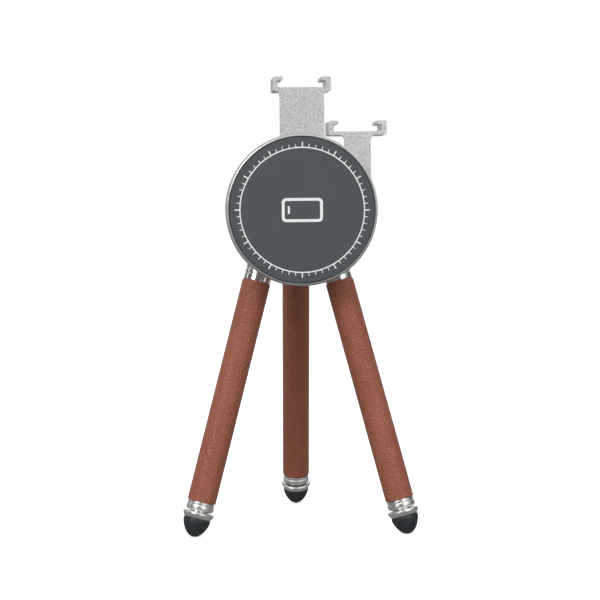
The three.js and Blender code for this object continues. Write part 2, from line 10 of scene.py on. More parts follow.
import bmesh
import bpy
from mathutils import Matrix, Vector, noise


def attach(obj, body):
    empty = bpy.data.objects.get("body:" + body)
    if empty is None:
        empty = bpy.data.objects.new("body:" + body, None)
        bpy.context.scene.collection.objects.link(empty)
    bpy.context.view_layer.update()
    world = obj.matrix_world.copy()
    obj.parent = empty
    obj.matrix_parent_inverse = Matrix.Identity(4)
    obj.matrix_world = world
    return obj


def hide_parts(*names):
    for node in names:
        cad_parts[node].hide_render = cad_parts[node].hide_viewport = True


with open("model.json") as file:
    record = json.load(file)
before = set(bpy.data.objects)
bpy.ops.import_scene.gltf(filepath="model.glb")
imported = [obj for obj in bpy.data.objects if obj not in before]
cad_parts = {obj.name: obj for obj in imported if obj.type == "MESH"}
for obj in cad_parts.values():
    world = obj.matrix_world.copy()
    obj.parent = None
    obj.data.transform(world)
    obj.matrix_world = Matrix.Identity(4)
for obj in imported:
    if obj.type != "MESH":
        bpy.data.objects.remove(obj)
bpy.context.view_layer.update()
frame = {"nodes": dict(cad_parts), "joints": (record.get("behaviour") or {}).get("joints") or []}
joints = {joint["name"]: joint for joint in frame["joints"]}
MM = 0.001

# ---- dimensions ---------------------------------------------------------------------------

SIDES = ("left", "right", "rear")

# Stations along a leg, measured down from its hinge.
CAP = (5.8, 7.1)
UPPER_FERRULE = (7.3, 13.8)
LEATHER = (14.0, 103.1)
LOWER_FERRULE = (103.3, 106.8)
GRIP_RING = (107.2, 109.6)
FOOT = (109.7, 117.0)
INNER_TUBE = (42.9, 112.3)
LEATHER_BORE = 4.95
LEATHER_RADIUS = 5.62
FERRULE_RADIUS = 5.4
GRIP_RING_RADIUS = 6.13
FOOT_RADIUS = 5.42
TUBE_BORE = 3.55
TONGUE = (2.5, 3.2)
TONGUE_WAIST = 2.5
HINGE_BORE = 1.55

# Hub and head, in the frame of the standing tripod.
HINGE_HEIGHT = 112.156
HINGE_RADIUS = 14.9
HUB_RADIUS = 12.0
EAR_RADIUS = 3.1
HUB = (107.756, 118.356)
YOKE_BASE = (119.356, 122.556)
TILT_Y = -4.0
TILT_HEIGHT = 129.656
CHEEK = (3.8, 7.2)
CHEEK_RADIUS = 5.0
NECK_HALF = 3.5
NECK_RADIUS = 4.8
TILT_BORE = 2.3
PAN_BORE = 2.9
WASHER = (118.506, 119.206)
WASHER_RADIUS = 11.0
PAN_BOLT_TOP = 122.156
KNOB_RADIUS = 5.9
KNOB_LOBES = 8
DISC_HEIGHT = 127.2
PAN_HEIGHT = 118.4

# Disc and housing: distances along Y from the tripod's axis.
FACE_FRONT = -31.5
RIM_FRONT = -31.2
DISC_BACK = -26.0
DISC_RADIUS = 29.5
FACE_RADIUS = 27.9
HOUSING = (-25.2, -20.7)
COVER = (-20.6, -19.2)
HOUSING_RADIUS = 19.2
SOCKET = (10.6, 25.0)
GUIDE = (14.9, 26.0, 12.0)
SPINDLE_BORE = 3.95
CUP_FLOOR = -26.9
FACE_THICKNESS = 1.3

# Accessory shoes, in the frame of the disc.
SHOE_FRONT = -24.0
SHOE_BACK = -8.0
SHOE_HALF = 11.25
SHOE_HEIGHT = 5.5
SLOT_HALF = 9.4
MOUTH_HALF = 7.45
SHOE_FLOOR = 1.35
SHOE_LIP = 1.4
NECK_BACK = -21.0
SHOE_FILLET = 2.0
EDGE_ROUNDING = 0.6
FINE_EDGE = 0.5
TOP_SHOE = {"x": 0.8, "bottom": 45.9, "half": 8.55, "foot": 9.0}
SIDE_SHOE = {"x": 22.3, "bottom": 28.8, "half": 5.05, "foot": 12.3}
STEM = {"left": 17.0, "right": 24.0, "bottom": -11.0, "back": -21.6}
COVER_SCREWS = {
    "upper_left": (-13.0, 10.5),
    "upper_right": (13.0, 10.5),
    "lower_left": (-11.5, -11.5),
    "lower_right": (11.5, -11.5),
}
BRACKET_SCREWS = {"left": (-4.2, 18.0), "right": (5.8, 18.0)}
STOP_PIN = (20.5, -9.0)
STOP_TRAVEL = 10.0
THREAD_BORE = 1.25

# Longer than any piece, for cutters that go right through.
THROUGH = 20.0


# ---- frames of reference --------------------------------------------------------------------

def origin_of(name):
    return Vector(joints[name]["pos_m"])


def leg_frame(side):
    """Origin at the leg's hinge, X along the hinge, Z up along the leg."""
    x = Vector(joints[f"{side}_leg_fold"]["axis"]).normalized()
    z = -Vector(joints[f"{side}_leg_extend"]["axis"]).normalized()
    matrix = Matrix((x, z.cross(x), z)).transposed().to_4x4()
    matrix.translation = origin_of(f"{side}_leg_fold")
    return matrix


def hub_frame(side):
    """Origin on the tripod's axis at the floor, turned so that the side's leg is towards -Y."""
    x = Vector(joints[f"{side}_leg_fold"]["axis"]).normalized()
    z = Vector((0, 0, 1))
    matrix = Matrix((x, z.cross(x), z)).transposed().to_4x4()
    matrix.translation = STANDING.translation
    return matrix


STANDING = Matrix.Translation(origin_of("head_pan") - Vector((0, 0, PAN_HEIGHT * MM)))
ON_DISC = STANDING @ Matrix.Translation((0, 0, DISC_HEIGHT * MM))


# ---- outlines -------------------------------------------------------------------------------

def arc(centre, radius, start, end, steps=16):
    """Points on an arc, with its angles in degrees."""
    angles = [math.radians(start + (end - start) * i / steps) for i in range(steps + 1)]
    return [(centre[0] + radius * math.cos(a), centre[1] + radius * math.sin(a)) for a in angles]


def rounded(corners, steps=6):
    """An outline whose corners (x, y, radius) are rounded. A corner without a radius stays."""
    points = []
    for i, corner in enumerate(corners):
        here = Vector(corner[:2])
        radius = corner[2] if len(corner) > 2 else 0
        if not radius:
            points.append(tuple(here))
            continue
        before = Vector(corners[i - 1][:2]) - here
        after = Vector(corners[(i + 1) % len(corners)][:2]) - here
        half = before.angle(after) / 2
        before.normalize()
        after.normalize()
        centre = here + (before + after).normalized() * (radius / math.sin(half))
        start = (here + before * (radius / math.tan(half)) - centre).normalized()
        end = (here + after * (radius / math.tan(half)) - centre).normalized()
        points += [tuple(centre + start.slerp(end, k / steps) * radius) for k in range(steps + 1)]
    return points


def mirrored(right):
    """A closed outline from its right half, listed from the bottom to the top."""
    return right + [(-corner[0], *corner[1:]) for corner in reversed(right)]


# ---- meshes ---------------------------------------------------------------------------------

AXIS_ORDER = {"X": (2, 0, 1), "Y": (1, 2, 0), "Z": (0, 1, 2)}


def along(axis, u, v, w):
    """The point that is at w along the axis, and at u and v across it."""
    point = (u, v, w)
    return [point[i] for i in AXIS_ORDER[axis]]


def closed_mesh(build):
    """A mesh from a bmesh, with one material slot for its faces and one for its bevelled edges."""
    bmesh.ops.remove_doubles(build, verts=build.verts[:], dist=1e-5)
    bmesh.ops.recalc_face_normals(build, faces=build.faces[:])
    mesh = bpy.data.meshes.new("piece")
    build.to_mesh(mesh)
    build.free()
    for _ in range(2):
        mesh.materials.append(None)
    return mesh


def ring_angles(count):
    return [2 * math.pi * i / count for i in range(count)]


def turned(profile, axis="Z", angles=None, relief=None):
    """A profile of (radius, height) turned about the axis; relief changes a radius."""
    angles = angles or ring_angles(96)
    build = bmesh.new()
    rings = []
    for radius, height in profile:
        if radius < 1e-6:
            rings.append([build.verts.new(along(axis, 0, 0, height))] * len(angles))
            continue
        ring = []
        for angle in angles:
            reach = relief(radius, angle, height) if relief else radius
            spot = along(axis, reach * math.cos(angle), reach * math.sin(angle), height)
            ring.append(build.verts.new(spot))
        rings.append(ring)
    is_sleeve = profile[0][0] > 1e-6
    following = rings[1:] + rings[:1] if is_sleeve else rings[1:]
    for lower, upper in zip(rings, following):
        for i, vertex in enumerate(lower):
            j = (i + 1) % len(angles)
            corners = [vertex, lower[j], upper[j], upper[i]]
            unique = list(dict.fromkeys(corners))
            if len(unique) > 2:
                build.faces.new(unique)
    return closed_mesh(build)


def extruded(outline, axis, low, high):
    """An outline of points across the axis, extruded along it."""
    build = bmesh.new()
    near = [build.verts.new(along(axis, u, v, low)) for u, v in outline]
    far = [build.verts.new(along(axis, u, v, high)) for u, v in outline]
    build.faces.new(near[::-1])
    build.faces.new(far)
    for i in range(len(outline)):
        j = (i + 1) % len(outline)
        build.faces.new((near[i], near[j], far[j], far[i]))
    return closed_mesh(build)


def slab(outline, front, back):
    """An outline in X and Z, extruded along Y."""
    return extruded([(z, x) for x, z in outline], "Y", front, back)


def plate(outline, left, right):
    """An outline in Y and Z, extruded along X."""
    return extruded(outline, "X", left, right)


def block(x, y, z):
    """A box from its (low, high) pairs."""
    return slab([(x[0], z[0]), (x[1], z[0]), (x[1], z[1]), (x[0], z[1])], *y)


def moved(mesh, *offset):
    mesh.transform(Matrix.Translation(offset))
    return mesh


def worked(mesh, add_modifiers):
    """The mesh after modifiers, as a new mesh."""
    holder = bpy.data.objects.new("holder", mesh)
    bpy.context.scene.collection.objects.link(holder)
    add_modifiers(holder)
    evaluated = holder.evaluated_get(bpy.context.evaluated_depsgraph_get())
    result = bpy.data.meshes.new_from_object(evaluated)
    bpy.data.objects.remove(holder)
    return result


def combined(mesh, operation, tools):
    for tool in tools:
        tool_object = bpy.data.objects.new("tool", tool)
        bpy.context.scene.collection.objects.link(tool_object)

        def add(holder):
            boolean = holder.modifiers.new("boolean", "BOOLEAN")
            boolean.operation = operation
            boolean.solver = "EXACT"
            boolean.object = tool_object

        mesh = worked(mesh, add)
        bpy.data.objects.remove(tool_object)
    return mesh


def joined(mesh, *tools):
    return combined(mesh, "UNION", tools)


def cut(mesh, *tools):
    return combined(mesh, "DIFFERENCE", tools)


def bevelled(mesh, width, segments=3, sharper_than=35, weight=None):
    """The mesh with its sharp edges rounded; weight gives an edge's share of the width."""
    def add(holder):
        bevel = holder.modifiers.new("bevel", "BEVEL")
        bevel.limit_method = "WEIGHT"
        bevel.width = width
        bevel.segments = segments
        bevel.material = 1

    build = bmesh.new()
    build.from_mesh(mesh)
    bmesh.ops.dissolve_limit(
        build, angle_limit=math.radians(0.5), verts=build.verts[:], edges=build.edges[:]
    )
    weights = build.edges.layers.float.new("bevel_weight_edge")
    for edge in build.edges:
        is_sharp = edge.calc_face_angle(0) > math.radians(sharper_than)
        middle = (edge.verts[0].co + edge.verts[1].co) / 2
        edge[weights] = (weight(middle) if weight else 1) if is_sharp else 0
    return worked(closed_mesh(build), add)


def mended(mesh):
    """The mesh without slivers or pinholes that cutting may have left."""
    build = bmesh.new()
    build.from_mesh(mesh)
    bmesh.ops.remove_doubles(build, verts=build.verts[:], dist=0.003)
    bmesh.ops.dissolve_degenerate(build, dist=0.002, edges=build.edges[:])
    bmesh.ops.holes_fill(build, edges=[edge for edge in build.edges if edge.is_boundary], sides=0)
    bmesh.ops.recalc_face_normals(build, faces=build.faces[:])
    build.to_mesh(mesh)
    build.free()
    return mesh


def even_normals(mesh, sharper_than):
    def add(holder):
        weighted = holder.modifiers.new("normals", "WEIGHTED_NORMAL")
        weighted.keep_sharp = True

    mesh.shade_smooth()
    mesh.set_sharp_from_angle(angle=math.radians(sharper_than))
    return worked(mesh, add)


def place(name, mesh, matrix, body, stands_for, look, sharper_than=32):
    """Puts a millimetre mesh in its frame, on its body, in place of CAD nodes, with its look."""
    mended(mesh).transform(Matrix.Scale(MM, 4))
    mesh = even_normals(mesh, sharper_than)
    mesh.name = name
    for slot, finish in enumerate((look, EDGE_LOOKS.get(look, look))):
        mesh.materials[slot] = LOOKS[finish]
    piece = bpy.data.objects.new(name, mesh)
    bpy.context.scene.collection.objects.link(piece)
    piece.matrix_world = matrix
    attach(piece, body)
    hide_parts(*stands_for)
    return piece


# ---- materials ------------------------------------------------------------------------------

LOOKS = {}
EDGE_LOOKS = {"aluminium": "machined"}


class Look:
    """A material under construction: a principled shader and the nodes that feed it."""

    def __init__(self, name, **constants):
        self.material = bpy.data.materials.new(name)
        self.material.use_nodes = True
        self.tree = self.material.node_tree
        self.shader = self.tree.nodes["Principled BSDF"]
        for socket, value in constants.items():
            self.shader.inputs[socket.replace("_", " ")].default_value = value
        self.place = self.add("TexCoord").outputs["Object"]
        LOOKS[name] = self.material

    def add(self, kind, settings=(), **inputs):
        node = self.tree.nodes.new(f"ShaderNode{kind}")
        for key, value in dict(settings).items():
            setattr(node, key, value)
        for key, value in inputs.items():
            socket = node.inputs[key.replace("_", " ")]
            if isinstance(value, bpy.types.NodeSocket):
                self.tree.links.new(value, socket)
            else:
                socket.default_value = value
        return node

    def stretched(self, *scale):
        return self.add("Mapping", Vector=self.place, Scale=scale).outputs["Vector"]

    def noise(self, scale, detail=3.0, roughness=0.55, place=None):
        return self.add(
            "TexNoise", Vector=place or self.place, Scale=scale, Detail=detail, Roughness=roughness
        ).outputs["Fac"]

    def cells(self, scale, feature="F1"):
        node = self.add("TexVoronoi", {"feature": feature}, Vector=self.place, Scale=scale)
        return node.outputs["Distance"]

    def span(self, value, low, high, start=0.0, end=1.0):
        """The value's range from low to high, spread from start to end."""
        node = self.add("MapRange", Value=value)
        limits = {"From Min": low, "From Max": high, "To Min": start, "To Max": end}
        for key, number in limits.items():
            node.inputs[key].default_value = number
        return node.outputs["Result"]

    def blend(self, amount, first, second):
        node = self.add("Mix", {"data_type": "RGBA"})
        for socket, value in ((0, amount), (6, first), (7, second)):
            if isinstance(value, bpy.types.NodeSocket):
                self.tree.links.new(value, node.inputs[socket])
            else:
                node.inputs[socket].default_value = value
        return node.outputs[2]

    def total(self, first, second, weight=1.0):
        scaled = self.add("Math", {"operation": "MULTIPLY"})
        self.tree.links.new(second, scaled.inputs[0])
        scaled.inputs[1].default_value = weight
        node = self.add("Math", {"operation": "ADD"})
        self.tree.links.new(first, node.inputs[0])
        self.tree.links.new(scaled.outputs[0], node.inputs[1])
        return node.outputs[0]

    def use(self, socket, value):
        self.tree.links.new(value, self.shader.inputs[socket])

    def bump(self, height, depth_mm, strength=1.0):
        """Height from 0 to 1 as relief of the given depth."""
        node = self.add("Bump", Height=height, Strength=strength, Distance=depth_mm * MM)
        self.use("Normal", node.outputs["Normal"])


def make_aluminium():
    look = Look("aluminium", Metallic=1.0)
    grain = look.noise(3900, 1.0)
    patches = look.noise(260, 3.0)
    speckle = look.span(look.total(grain, patches, 0.1), 0.40, 0.70)
    look.use("Base Color", look.blend(speckle, (0.49, 0.50, 0.50, 1), (0.87, 0.88, 0.875, 1)))
    look.use("Roughness", look.span(grain, 0.3, 0.7, 0.38, 0.48))
    look.bump(look.total(grain, look.cells(3400), 0.5), 0.02)


def make_machined(name, darker, lighter, shine):
    """Bare turned or milled aluminium: the rim of the disc and the edges of the blasted pieces."""
    look = Look(name, Metallic=1.0)
    grain = look.noise(3800, 2.0)
    haze = look.noise(400, 3.0)
    look.use("Base Color", look.blend(haze, darker, lighter))
    look.use("Roughness", look.span(grain, 0.3, 0.7, *shine))
    look.bump(grain, 0.002)


def make_nickel(name, shine, line_depth):
    look = Look(name, Metallic=1.0)
    rings = look.noise(1.0, 2.0, place=look.stretched(25, 25, 4200))
    smudge = look.noise(180, 3.0)
    look.use("Base Color", look.blend(smudge, (0.78, 0.78, 0.745, 1), (0.88, 0.875, 0.845, 1)))
    look.use("Roughness", look.span(look.total(smudge, rings, 0.3), 0.4, 0.9, *shine))
    look.bump(rings, line_depth)


def make_tube():
    look = Look("tube", Metallic=1.0)
    lines = look.noise(1.0, 3.0, place=look.stretched(5200, 5200, 60))
    look.use("Base Color", look.blend(lines, (0.46, 0.46, 0.47, 1), (0.66, 0.66, 0.67, 1)))
    look.use("Roughness", look.span(lines, 0.3, 0.7, 0.22, 0.38))
    look.bump(lines, 0.004)


def make_screw():
    look = Look("screw", Metallic=1.0)
    grain = look.noise(1800, 3.0)
    look.use("Base Color", look.blend(grain, (0.30, 0.30, 0.31, 1), (0.46, 0.46, 0.47, 1)))
    look.use("Roughness", look.span(grain, 0.3, 0.7, 0.25, 0.42))
    look.bump(grain, 0.006)


def make_leather():
    look = Look("leather", Specular_IOR_Level=0.55, Sheen_Weight=0.03, Sheen_Roughness=0.5)
    pebbles = look.span(look.cells(1150, "DISTANCE_TO_EDGE"), 0.0, 0.2)
    fine = look.noise(2300, 3.0)
    broad = look.noise(120, 3.0)
    shade = look.span(broad, 0.3, 0.7)
    tone = look.blend(shade, (0.325, 0.087, 0.040, 1), (0.375, 0.106, 0.050, 1))
    worn = look.blend(look.span(fine, 0.53, 0.70, 0, 0.7), tone, (0.58, 0.235, 0.145, 1))
    # Painted shade: the creases between the pebbles are darkened in the colour itself.
    painted_crease_shade = look.blend(look.span(pebbles, 0.0, 0.6, 0.45, 0.0), worn, (0.17, 0.040, 0.020, 1))
    look.use("Base Color", painted_crease_shade)
    look.use("Roughness", look.span(look.total(pebbles, fine, 0.5), 0.2, 1.4, 0.54, 0.36))
    look.bump(look.total(pebbles, fine, 0.6), 0.14)


def make_rubber():
    look = Look("rubber", Specular_IOR_Level=0.4)
    grain = look.noise(2400, 3.0)
    dust = look.noise(300, 4.0)
    paler = look.span(dust, 0.35, 0.8)
    look.use("Base Color", look.blend(paler, (0.019, 0.024, 0.0265, 1), (0.028, 0.034, 0.0375, 1)))
    look.use("Roughness", look.span(grain, 0.3, 0.7, 0.42, 0.52))
    look.bump(grain, 0.008)


def make_slate():
    look = Look("slate", Specular_IOR_Level=0.3)
    grain = look.noise(5200, 2.0)
    cloud = look.noise(90, 3.0)
    shade = look.span(look.total(grain, cloud, 0.5), 0.55, 0.95)
    look.use("Base Color", look.blend(shade, (0.070, 0.080, 0.0855, 1), (0.078, 0.0885, 0.0945, 1)))
    look.use("Roughness", look.span(grain, 0.3, 0.7, 0.55, 0.66))
    look.bump(grain, 0.004)


def make_ink():
    look = Look("ink", Specular_IOR_Level=0.3)
    grain = look.noise(3600, 2.0)
    look.use("Base Color", look.blend(grain, (0.80, 0.81, 0.82, 1), (0.93, 0.93, 0.93, 1)))
    look.use("Roughness", look.span(grain, 0.3, 0.7, 0.42, 0.55))
    look.bump(grain, 0.004)


def make_plastic():
    look = Look("plastic", Specular_IOR_Level=0.45)
    grain = look.cells(2300)
    wear = look.noise(300, 4.0)
    paler = look.span(wear, 0.45, 0.8)
    look.use("Base Color", look.blend(paler, (0.012, 0.0125, 0.0135, 1), (0.030, 0.031, 0.033, 1)))
    look.use("Roughness", look.span(grain, 0.0, 0.8, 0.38, 0.58))
    look.bump(grain, 0.018)


def make_acetal():
    look = Look("acetal", Specular_IOR_Level=0.5)
    cloud = look.noise(700, 4.0)
    look.use("Base Color", look.blend(cloud, (0.60, 0.58, 0.53, 1), (0.72, 0.71, 0.67, 1)))
    look.use("Roughness", look.span(cloud, 0.3, 0.7, 0.35, 0.5))
    look.bump(cloud, 0.006)


def make_magnet():
    look = Look("magnet", Metallic=1.0)
    plating = look.noise(1200, 4.0)
    look.use("Base Color", look.blend(plating, (0.36, 0.36, 0.37, 1), (0.52, 0.52, 0.53, 1)))
    look.use("Roughness", look.span(plating, 0.3, 0.7, 0.2, 0.4))
    look.bump(plating, 0.008)


def make_looks():
    make_aluminium()
    make_machined("machined", (0.62, 0.63, 0.625, 1), (0.74, 0.75, 0.745, 1), (0.22, 0.29))
    make_machined("turned_rim", (0.50, 0.51, 0.505, 1), (0.60, 0.61, 0.605, 1), (0.36, 0.44))
    make_nickel("nickel", (0.09, 0.14), 0.0002)
    make_nickel("brushed_nickel", (0.26, 0.34), 0.0004)
    make_tube()
    make_screw()
    make_leather()
    make_rubber()
    make_slate()
    make_ink()
    make_plastic()
    make_acetal()
    make_magnet()


# ---- legs -----------------------------------------------------------------------------------

def down(profile):
    """A leg's profile of (radius, station) as (radius, height), since stations run downwards."""
    return [(corner[0], -corner[1], *corner[2:]) for corner in profile]


def leg_knuckle():
    half, reach = TONGUE
    tongue = [(-TONGUE_WAIST, 0.6 - CAP[1]), (reach, 0.6 - CAP[1]), (reach, reach)]
    tongue += arc((0, 0), reach, 90, 180) + [(-TONGUE_WAIST, -reach)]
    cap = rounded(down([
        (0, 14.0), (3.95, 14.0, 0.3), (3.95, CAP[1]),
        (5.0, CAP[1], 0.2), (5.0, CAP[0], 0.55), (0, CAP[0]),
    ]))
    body = joined(bevelled(plate(tongue, -half, half), 0.35), turned(cap))
    return cut(body, turned([(0, -6), (HINGE_BORE, -6), (HINGE_BORE, 6), (0, 6)], "X"))


def upper_ferrule():
    """A plain band beside the leather, then two narrower rings, each with soft edges."""
    top, bottom = UPPER_FERRULE
    r = FERRULE_RADIUS
    groove = r - 0.34
    return turned(rounded(down([
        (LEATHER_BORE, bottom), (r, bottom, 0.18), (r, bottom - 2.15, 0.25),
        (groove, bottom - 2.35, 0.1), (groove, bottom - 2.55, 0.1),
        (r, bottom - 2.8, 0.3), (r, bottom - 4.0, 0.3),
        (groove, bottom - 4.25, 0.1), (groove, bottom - 4.45, 0.1), (r, bottom - 4.7, 0.3),
        (r, top, 0.5), (LEATHER_BORE, top),
    ])))


def lower_ferrule():
    """A thin ring under the leather, then a wider barrel-shaped one with a stop lip inside."""
    top, bottom = LOWER_FERRULE
    r = FERRULE_RADIUS
    return turned(rounded(down([
        (TUBE_BORE, bottom), (r - 0.62, bottom, 0.3), (r + 0.08, bottom - 0.95, 0.9),
        (r + 0.12, bottom - 2.2, 0.3), (r - 0.26, bottom - 2.42, 0.12),
        (r - 0.1, bottom - 2.8, 0.2), (r - 0.06, top, 0.22), (LEATHER_BORE, top),
        (LEATHER_BORE, bottom - 0.6), (TUBE_BORE, bottom - 0.6),
    ])))


def grip_ring():
    top, bottom = GRIP_RING
    r = GRIP_RING_RADIUS
    return turned(rounded(down([
        (TUBE_BORE, bottom), (FOOT_RADIUS - 0.12, bottom, 0.12), (r - 0.03, top + 0.95, 0.35),
        (r, top + 0.42, 0.25), (r - 0.45, top, 0.3), (TUBE_BORE, top),
    ])))


def rubber_foot():
    """A bullet shape, a little more pointed than an ellipse, with a rounded shoulder."""
    top, tip = FOOT
    nose = [
        (0, 0), (0.86, 0.1), (1.5, 0.32), (2.1, 0.68), (2.62, 1.1), (3.08, 1.56),
        (3.62, 2.22), (4.12, 3.0), (4.52, 3.8), (4.85, 4.55), (5.1, 5.25),
        (5.25, 5.8), (5.32, 6.3), (5.32, 6.75), (5.24, 7.1), (5.05, 7.26),
    ]
    profile = [(radius, tip - height) for radius, height in nose]
    socket = INNER_TUBE[1] + 0.2
    profile += [(4.8, top), (TUBE_BORE, top), (TUBE_BORE, socket), (0, socket)]
    return turned(down(profile))


def inner_tube():
    top, bottom = INNER_TUBE
    inside, outside = 2.6, 3.4
    return turned(rounded(down([
        (inside, bottom, 0.1), (outside, bottom, 0.1), (outside, top, 0.1), (inside, top, 0.1),
    ])))


def leather_wrap(matrix):
    """A sleeve with rolled ends, a little uneven as hide is, with its butt seam at the back."""
    top, bottom = LEATHER
    backwards = matrix.to_3x3().inverted() @ Vector((0, 1, 0))
    seam = math.atan2(backwards.y, backwards.x)
    near = (-9, -6, -4.5, -3.2, -2.2, -1.4, -0.7, 0, 0.7, 1.4, 2.2, 3.2, 4.5, 6, 9)
    around = [seam + math.radians(a) for a in near]
    around += [seam + math.radians(9 + 342 * i / 91) for i in range(1, 91)]
    rows = 44
    roll = 0.42
    profile = rounded(down([
        (LEATHER_BORE, bottom), (LEATHER_RADIUS, bottom, roll),
        (LEATHER_RADIUS, top, roll), (LEATHER_BORE, top),
    ]))
    middle = len(profile) // 2
    low, high = profile[middle - 1][1], profile[middle][1]
    heights = [low + (high - low) * i / rows for i in range(1, rows)]
    profile[middle:middle] = [(LEATHER_RADIUS, height) for height in heights]

    def relief(radius, angle, height):
        outside = min(1, max(0, (radius - LEATHER_BORE) / (LEATHER_RADIUS - LEATHER_BORE)))
        across = math.remainder(angle - seam, 2 * math.pi) * radius
        groove = 0.22 * math.exp(-((across / 0.16) ** 2))
        swelling = 0.05 * math.exp(-(((abs(across) - 0.5) / 0.3) ** 2))
        spot = Vector((math.cos(angle) * 5.6, math.sin(angle) * 5.6, height))
        waves = 0.03 * noise.noise(spot * 0.12) + 0.012 * noise.noise(spot * 0.5)
        return radius + outside * (waves - (groove - swelling))

    return turned(profile, "Z", around, relief)


def make_leg(side):
    matrix = leg_frame(side)
    upper, lower = f"{side}_leg", f"{side}_leg_end"
    parts = (
        ("leg_knuckle", leg_knuckle(), upper, "nickel"),
        ("upper_ferrule", upper_ferrule(), upper, "nickel"),
        ("leather_wrap", leather_wrap(matrix), upper, "leather"),
        ("lower_ferrule", lower_ferrule(), upper, "brushed_nickel"),
        ("inner_tube", inner_tube(), lower, "tube"),
        ("grip_ring", grip_ring(), lower, "brushed_nickel"),
        ("rubber_foot", rubber_foot(), lower, "rubber"),
    )
    for name, mesh, body, look in parts:
        place(f"{name}_{side}_shape", mesh, matrix, body, [f"{name}_{side}"], look)


# ---- hub and swivel -------------------------------------------------------------------------

def hexagon(across_flats):
    return arc((0, 0), across_flats / math.sqrt(3), 0, 300, 5)


def socket_screw(head_radius, shank_radius, base, head_depth, end, axis, socket):
    """A low round head with a hexagon socket at its low end, and a plain shank."""
    body = turned(rounded([
        (0, base), (head_radius, base, head_depth * 0.35), (head_radius, base + head_depth, 0.1),
        (shank_radius, base + head_depth), (shank_radius, end, 0.2), (0, end),
    ]), axis)
    return cut(body, extruded(hexagon(socket), axis, base - 1, base + head_depth * 0.6))


def hub_lug():
    inside = HUB_RADIUS - 5
    low, high = HUB[0] - HINGE_HEIGHT, HUB[1] - HINGE_HEIGHT - 1
    outline = [(-inside, low), (-inside, high), (-HUB_RADIUS, high), (-HINGE_RADIUS, EAR_RADIUS)]
    outline += arc((-HINGE_RADIUS, 0), EAR_RADIUS, 90, 270)[1:]
    outline.append((-HUB_RADIUS, low))
    return moved(bevelled(plate(outline, -6.4, 6.4), 0.5), 0, 0, HINGE_HEIGHT)


def leg_room():
    """The slot in the hub that a leg's knuckle swings in."""
    return block((-2.8, 2.8), (-40, -10.6), (HINGE_HEIGHT - THROUGH, HINGE_HEIGHT + THROUGH))


def hinge_holes():
    bore = [
        (0, -THROUGH), (2.9, -THROUGH), (2.9, -6.5), (2.7, -6.3),
        (2.7, -4.7), (HINGE_BORE, -4.7), (HINGE_BORE, THROUGH), (0, THROUGH),
    ]
    return moved(turned(bore, "X"), 0, -HINGE_RADIUS, HINGE_HEIGHT)


def turned_to(mesh, side):
    mesh.transform(STANDING.inverted() @ hub_frame(side))
    return mesh


def leg_hub():
    low, high = HUB
    core = turned(rounded([(0, low), (HUB_RADIUS, low, 0.9), (HUB_RADIUS, high, 0.9), (0, high)]))
    whole = joined(core, *[turned_to(hub_lug(), side) for side in SIDES])
    whole = cut(whole, *[turned_to(leg_room(), side) for side in SIDES])
    bore = turned([(0, low - 5), (PAN_BORE, low - 5), (PAN_BORE, high + 5), (0, high + 5)])
    return cut(whole, bore, *[turned_to(hinge_holes(), side) for side in SIDES])


def pan_washer():
    low, high = WASHER
    return turned(rounded([
        (3, low, 0.1), (WASHER_RADIUS, low, 0.2), (WASHER_RADIUS, high, 0.2), (3, high, 0.1),
    ]))


def knurled(radius, angle, height):
    return radius + (0.12 * math.cos(36 * angle) if radius > 4.2 else 0)


def pan_bolt():
    """The knurled cap screw that holds the head to the hub from below."""
    low = HUB[0] - 3.3
    head, shank = 4.45, 2.6
    body = turned(rounded([
        (0, low), (head, low, 0.5), (head, low + 3, 0.3), (shank, low + 3),
        (shank, PAN_BOLT_TOP, 0.2), (0, PAN_BOLT_TOP),
    ]), "Z", ring_angles(216), knurled)
    return cut(body, extruded(hexagon(3.6), "Z", low - 1, low + 1.8))


def tilt_hole(height):
    """A cutter along X for the tilt bolt, at a height in the frame of the piece."""
    profile = [(0, -THROUGH), (TILT_BORE, -THROUGH), (TILT_BORE, THROUGH), (0, THROUGH)]
    return moved(turned(profile, "X"), 0, TILT_Y, height)


def pan_yoke():
    low, high = YOKE_BASE
    base = turned(rounded([(0, low), (HUB_RADIUS, low, 0.3), (HUB_RADIUS, high, 0.8), (0, high)]))
    cheek = [(TILT_Y - CHEEK_RADIUS, high - 0.8), (TILT_Y + CHEEK_RADIUS + 2, high - 0.8)]
    cheek += arc((TILT_Y, TILT_HEIGHT), CHEEK_RADIUS, 0, 180)
    sides = [bevelled(plate(cheek, *span), 0.5) for span in (CHEEK, (-CHEEK[1], -CHEEK[0]))]
    bore = turned([(0, low - 5), (PAN_BORE, low - 5), (PAN_BORE, high - 0.1), (0, high - 0.1)])
    return cut(joined(base, *sides), tilt_hole(TILT_HEIGHT), bore)


def tilt_bolt():
    bolt = socket_screw(4.0, 2.0, -CHEEK[1] - 2.9, 2.6, CHEEK[1] + 6.5, "X", 3.2)
    return moved(bolt, 0, TILT_Y, TILT_HEIGHT)


def tilt_knob():
    """A lobed thumb knob with a dished end."""
    start, end = CHEEK[1] + 0.3, CHEEK[1] + 7.3
    rim = []
    for angle in ring_angles(144):
        radius = KNOB_RADIUS + 0.4 * math.cos(KNOB_LOBES * angle)
        rim.append((radius * math.cos(angle), radius * math.sin(angle)))
    body = bevelled(plate(rim, start, end), 0.8, 4, 50)
    dish = turned([
        (0, end - 0.7), (3.6, end - 0.7), (4.2, end + 0.2), (4.2, end + 2), (0, end + 2),
    ], "X")
    bore = turned([(0, 0), (TILT_BORE, 0), (TILT_BORE, THROUGH), (0, THROUGH)], "X")
    return moved(cut(body, dish, bore), 0, TILT_Y, TILT_HEIGHT)


